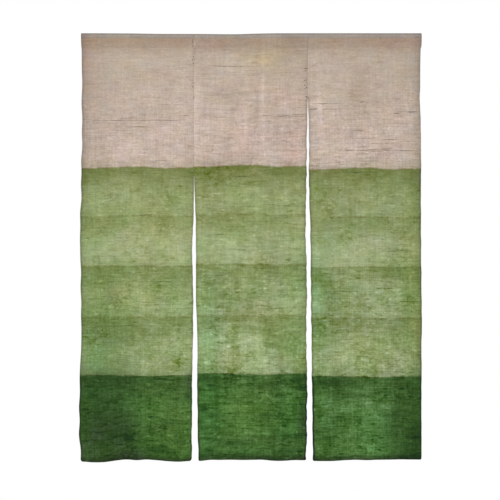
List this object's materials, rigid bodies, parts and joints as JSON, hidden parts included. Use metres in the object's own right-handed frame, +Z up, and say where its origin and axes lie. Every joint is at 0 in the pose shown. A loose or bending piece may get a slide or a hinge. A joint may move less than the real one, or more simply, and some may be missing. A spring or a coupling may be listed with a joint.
{
  "type": "noren curtain",
  "caption": "Split doorway curtain of dyed cloth panels, joined edge to edge near the top and slit below, with a pocket along the top fold for a rod.",
  "frame": {"origin": "on the pocket's top fold, midway along it, straight above the rod's axis", "axes": "+X along the rod to the viewer's right, +Y to the back of the hanging cloth, +Z up"},
  "size_m": [0.8814, 0.0215, 1.1042],
  "materials": {
    "hemp_cloth": "matte coarse plain weave with slubs, dip-dyed in level bands from undyed beige down to deep green"
  },
  "bodies": {
    "root": {"panel_left": "hemp_cloth", "panel_middle": "hemp_cloth", "panel_right": "hemp_cloth"}
  },
  "joints": []
}
